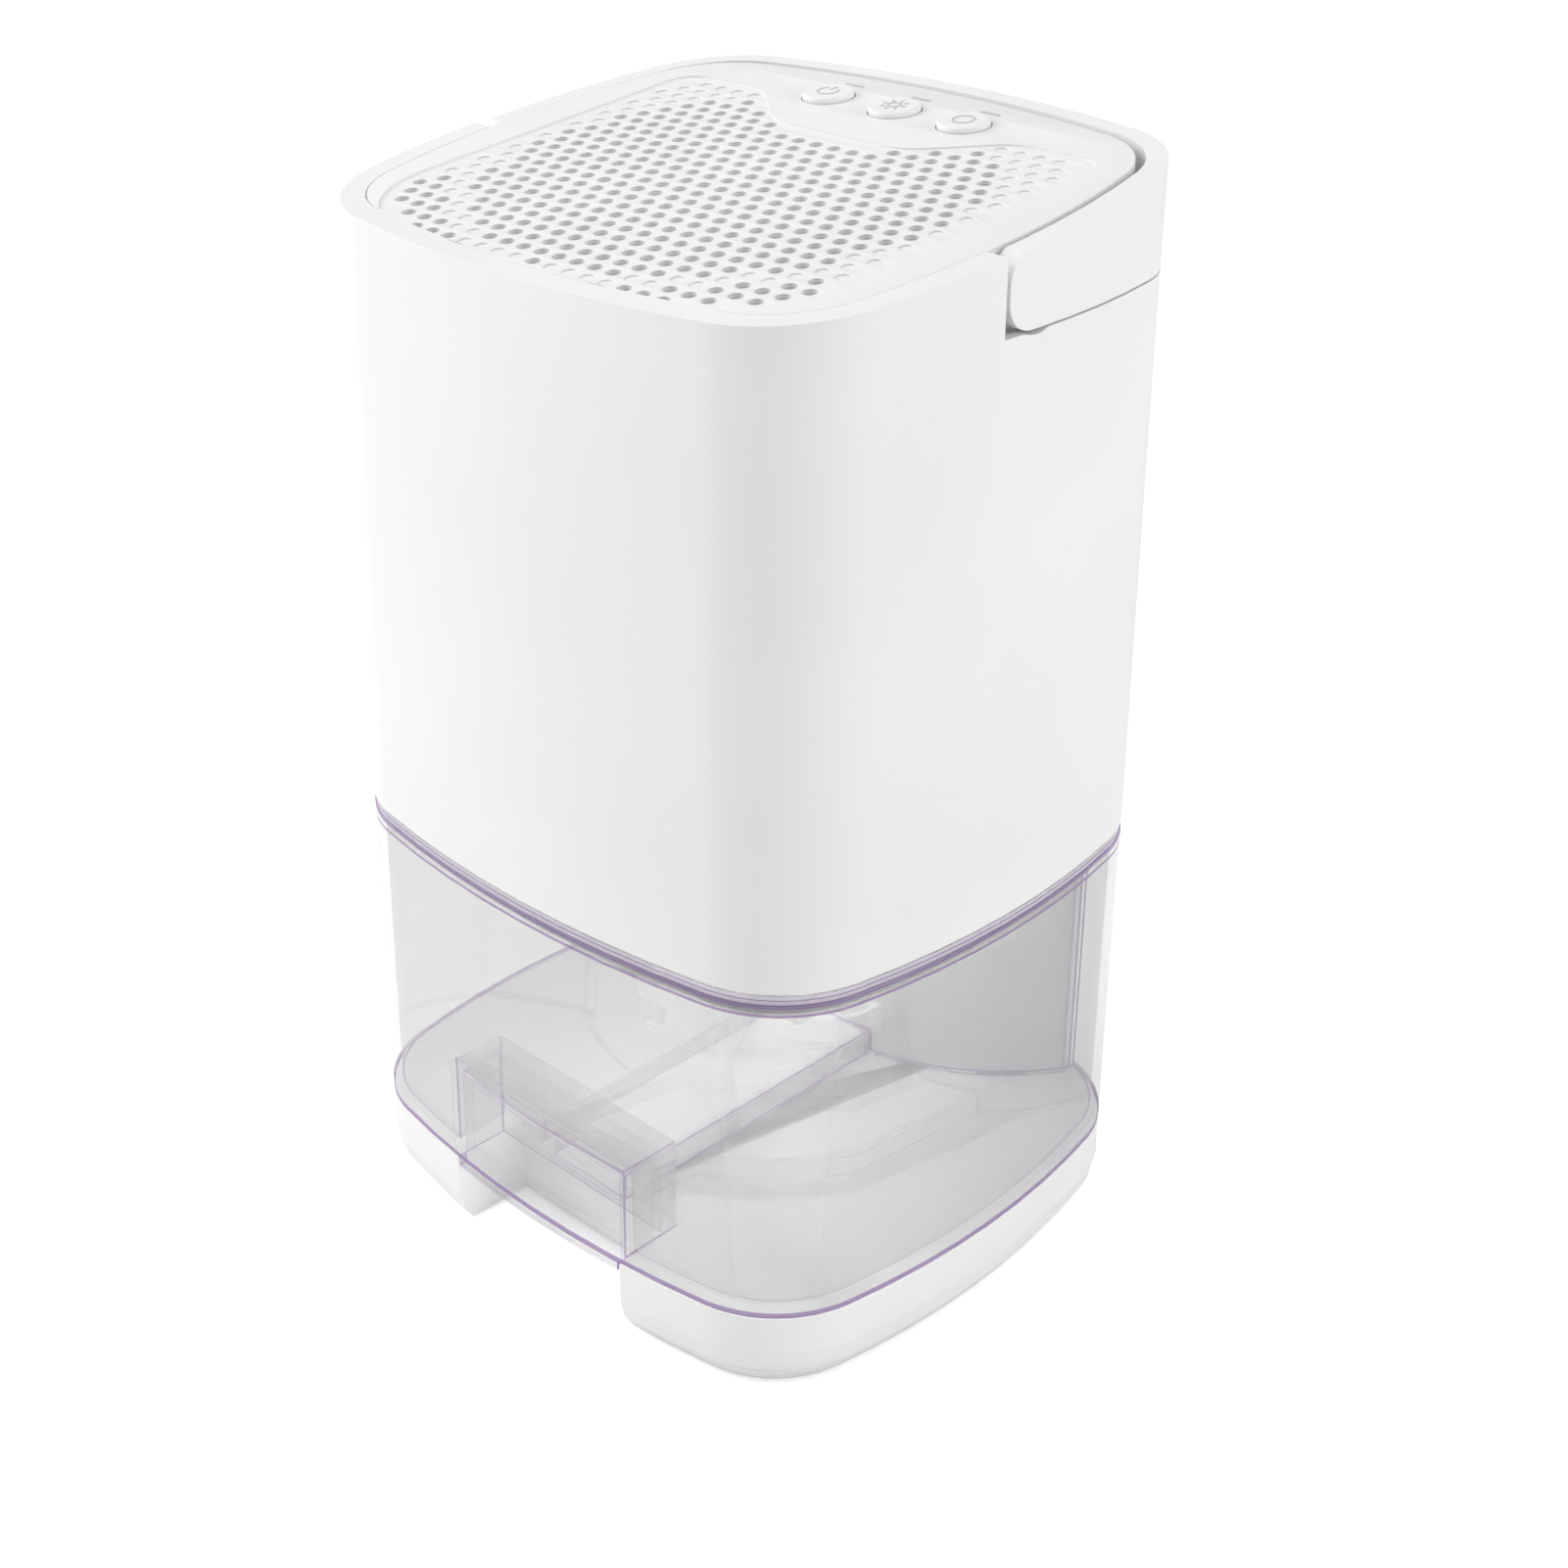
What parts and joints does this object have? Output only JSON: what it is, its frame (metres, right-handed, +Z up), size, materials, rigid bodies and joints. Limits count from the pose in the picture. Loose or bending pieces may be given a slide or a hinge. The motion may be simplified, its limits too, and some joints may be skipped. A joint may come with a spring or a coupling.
{
  "type": "dehumidifier",
  "caption": "Small thermoelectric dehumidifier: white rounded upright body over a clear slide-out water tank, perforated sloped top, round buttons, folding bail handle.",
  "frame": {"origin": "on the floor, under the middle of the body's box", "axes": "+Z up, front with the finger pocket towards -Y, +X to the right as seen from the front"},
  "size_m": [0.152, 0.135, 0.25],
  "materials": {
    "white_shell": "fine satin moulded ABS",
    "white_inner": "moulded ABS",
    "clear_tank": "clear moulded polycarbonate with a faint violet tint",
    "silicone": "translucent silicone",
    "grey_rubber": "matt rubber",
    "screw_steel": "zinc plated",
    "sink_aluminium": "extruded",
    "module_ceramic": "unglazed alumina",
    "black_foam": "closed-cell foam",
    "black_plastic": "moulded",
    "green_board": "solder resist",
    "wire_sleeve": "pvc sleeve",
    "white_foam": "expanded foam"
  },
  "bodies": {
    "housing": {"front_shell": "white_shell", "rear_shell": "white_shell", "rear_column": "white_shell", "base_tray": "white_shell", "rubber_feet": "grey_rubber", "base_screws": "screw_steel", "bottom_plate": "white_inner", "column_screws": "screw_steel", "body_screws": "screw_steel", "drip_tray": "white_inner", "cold_sink": "sink_aluminium", "peltier_module": "module_ceramic", "foam_gasket": "black_foam", "hot_sink": "sink_aluminium", "sink_screws": "screw_steel", "air_duct": "white_inner", "fan_frame": "white_inner", "fan_screws": "screw_steel", "top_cover": "white_shell", "control_board": "green_board", "tact_switches": "black_plastic", "board_screws": "screw_steel", "light_board": "green_board", "reed_sensor": "black_plastic", "dc_jack": "black_plastic", "wire_harness": "wire_sleeve", "handle_pins": "white_inner"},
    "fan": {"fan_rotor": "white_inner"},
    "power_button": {"button_power": "white_shell"},
    "light_button": {"button_light": "white_shell"},
    "mode_button": {"button_mode": "white_shell"},
    "bail": {"handle": "white_shell"},
    "tank": {"water_tank": "clear_tank", "tank_lid": "clear_tank", "tank_seal": "silicone", "lid_plug": "silicone", "float_guide": "white_inner"},
    "float": {"tank_float": "white_foam", "float_magnet": "screw_steel"}
  },
  "joints": [
    {"name": "fan_spin", "type": "hinge", "parent": "housing", "child": "fan", "pos_m": [0, -0.005, 0.21], "axis": [0, 0, 1], "continuous": true},
    {"name": "power_press", "type": "slide", "parent": "housing", "child": "power_button", "axis": [0, 0.1191, -0.9929], "range_m": [0, 0.0008], "stiffness_N_per_m": 1500},
    {"name": "light_press", "type": "slide", "parent": "housing", "child": "light_button", "axis": [0, 0.1191, -0.9929], "range_m": [0, 0.0008], "stiffness_N_per_m": 1500},
    {"name": "mode_press", "type": "slide", "parent": "housing", "child": "mode_button", "axis": [0, 0.1191, -0.9929], "range_m": [0, 0.0008], "stiffness_N_per_m": 1500},
    {"name": "bail_swing", "type": "hinge", "parent": "housing", "child": "bail", "pos_m": [0, 0, 0.23411], "axis": [1, 0, 0], "range_deg": [0, 90]},
    {"name": "tank_slide", "type": "slide", "parent": "housing", "child": "tank", "axis": [0, -1, 0], "range_m": [0, 0.15]},
    {"name": "float_rise", "type": "slide", "parent": "tank", "child": "float", "axis": [0, 0, 1], "range_m": [0, 0.018]}
  ]
}
